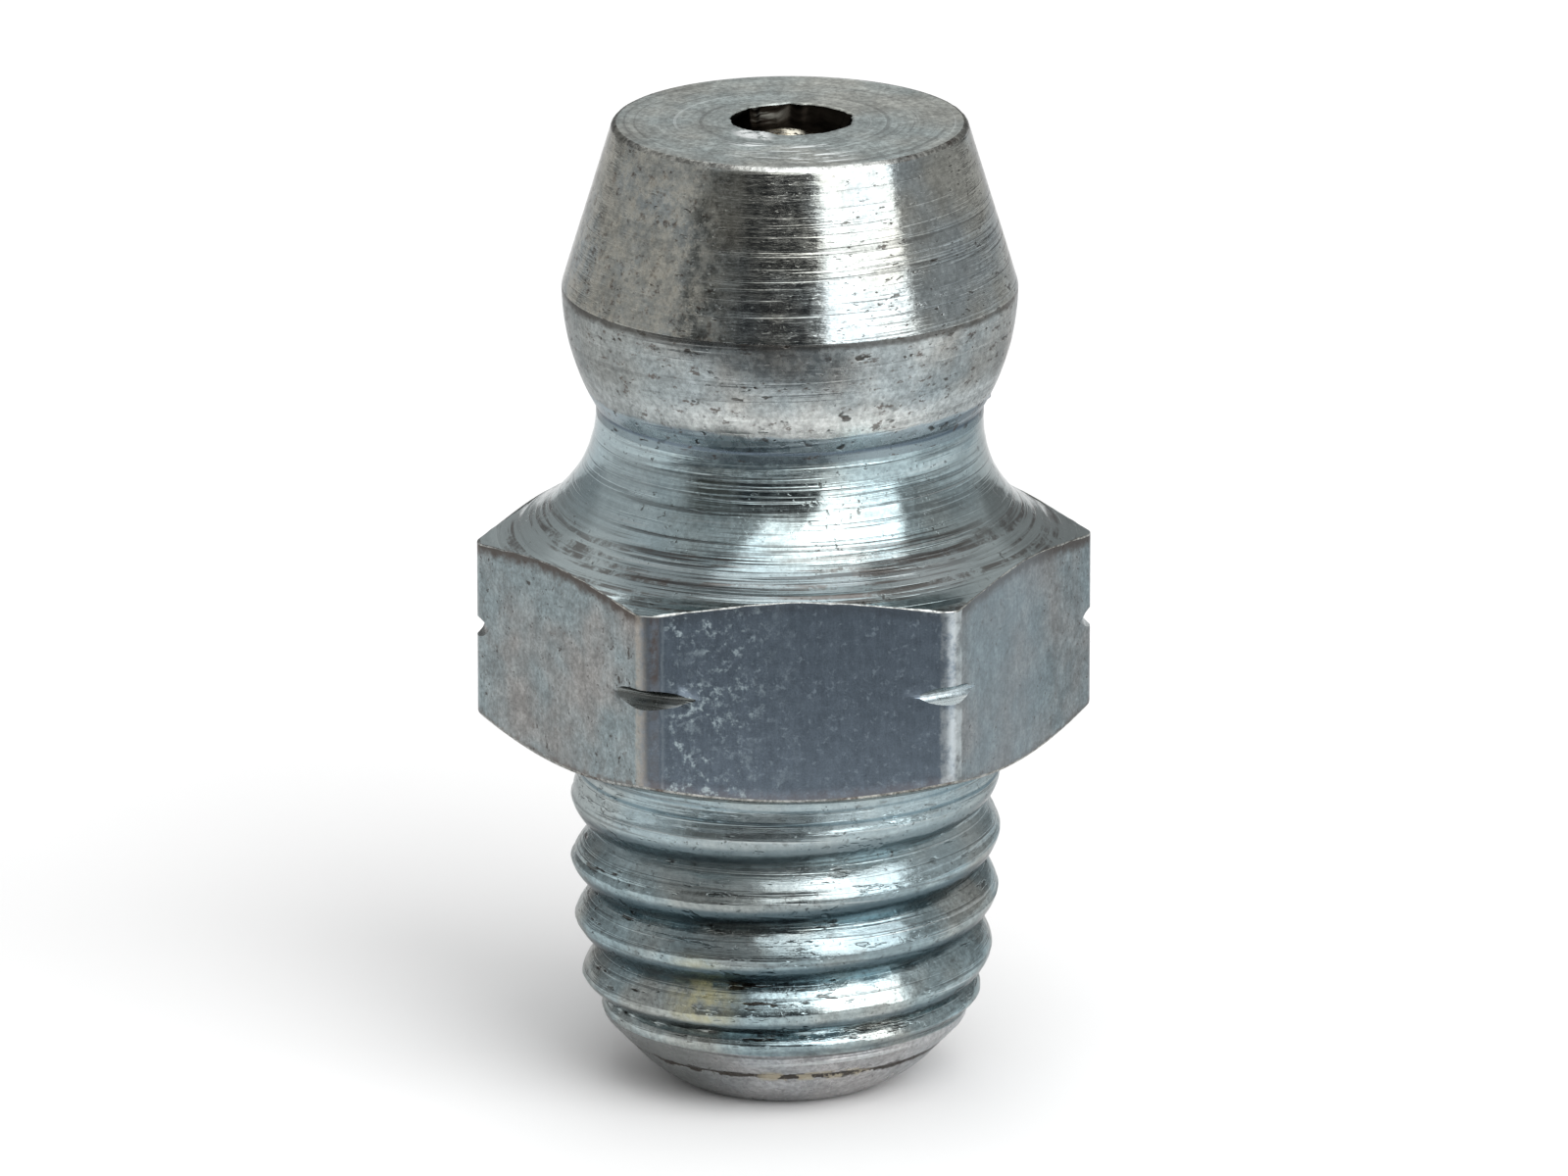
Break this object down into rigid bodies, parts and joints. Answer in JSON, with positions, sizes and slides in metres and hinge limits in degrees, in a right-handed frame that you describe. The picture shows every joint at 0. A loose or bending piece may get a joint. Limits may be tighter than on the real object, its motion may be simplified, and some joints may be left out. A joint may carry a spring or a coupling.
{
  "type": "grease nipple",
  "caption": "Straight zinc-plated grease nipple with a hexagon, an inch-thread shank, a coupling head and a spring-loaded check ball.",
  "frame": {"origin": "on the nipple's axis, in the plane of the seat face under the hexagon, where the threaded shank begins", "axes": "+Z along the axis from the shank to the coupling head; flats of the hexagon face -Y and +Y; +X through an edge of the hexagon"},
  "size_m": [0.009, 0.008, 0.0146],
  "materials": {
    "zinc_plated_steel": "satin",
    "ball_steel": "polished",
    "spring_steel": "satin"
  },
  "bodies": {
    "fitting": {"body": "zinc_plated_steel", "spring": "spring_steel"},
    "ball": {"check_ball": "ball_steel"}
  },
  "joints": [
    {"name": "ball_slide", "type": "slide", "parent": "fitting", "child": "ball", "axis": [0, 0, -1], "range_m": [0, 0.0012], "stiffness_N_per_m": 800, "deforming": ["spring"]}
  ]
}
